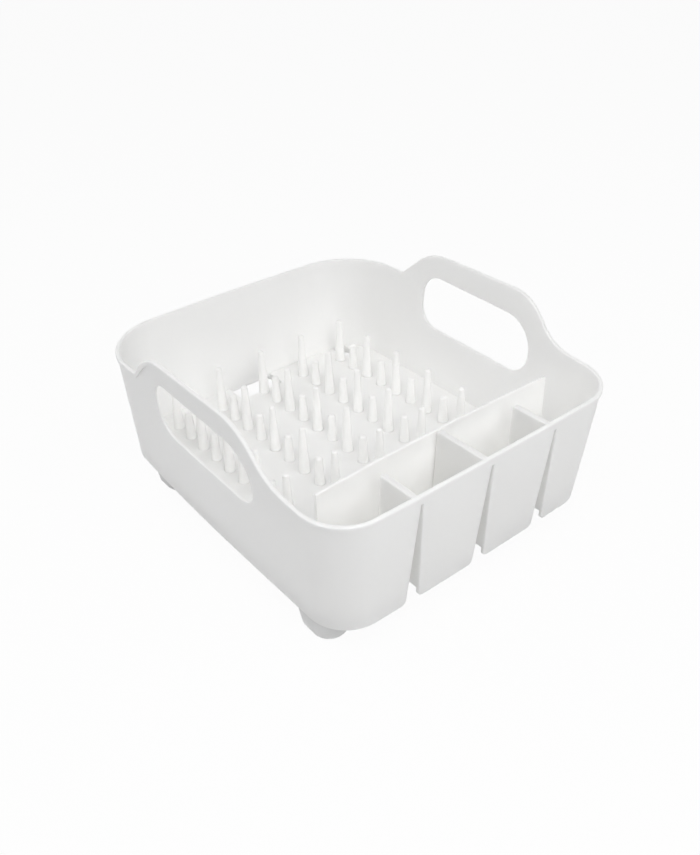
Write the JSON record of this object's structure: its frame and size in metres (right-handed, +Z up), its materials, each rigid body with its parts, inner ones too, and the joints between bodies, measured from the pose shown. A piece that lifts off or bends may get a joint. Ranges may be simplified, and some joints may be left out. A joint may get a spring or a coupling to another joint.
{
  "type": "dish drying rack",
  "caption": "White plastic dish-drying tub with raised hand-hole handles, a lift-out mat of plate pegs, cutlery cups along the front, a lift-out divider, drain openings and four feet.",
  "frame": {"origin": "on the counter, under the middle of the tub", "axes": "+X to the right along the cutlery wall, +Y to the back, +Z up"},
  "size_m": [0.3182, 0.3623, 0.1814],
  "materials": {
    "tub_plastic": "satin white",
    "foot_plastic": "satin white",
    "mat_plastic": "satin white",
    "divider_plastic": "satin white"
  },
  "bodies": {
    "tub_body": {"tub": "tub_plastic", "foot_front_left": "foot_plastic", "foot_front_right": "foot_plastic", "foot_rear_left": "foot_plastic", "foot_rear_right": "foot_plastic"},
    "mat_body": {"peg_mat": "mat_plastic", "tall_pegs_row_1": "mat_plastic", "tall_pegs_row_2": "mat_plastic", "tall_pegs_row_3": "mat_plastic", "tall_pegs_row_4": "mat_plastic", "tall_pegs_row_5": "mat_plastic", "short_pegs_row_1": "mat_plastic", "short_pegs_row_2": "mat_plastic", "short_pegs_row_3": "mat_plastic", "short_pegs_row_4": "mat_plastic"},
    "divider_body": {"cutlery_divider": "divider_plastic"}
  },
  "joints": [
    {"name": "mat_lift", "type": "slide", "parent": "tub_body", "child": "mat_body", "axis": [0, 0, 1], "range_m": [0, 0.145]},
    {"name": "divider_lift", "type": "slide", "parent": "tub_body", "child": "divider_body", "axis": [0, 0, 1], "range_m": [0, 0.145]}
  ]
}
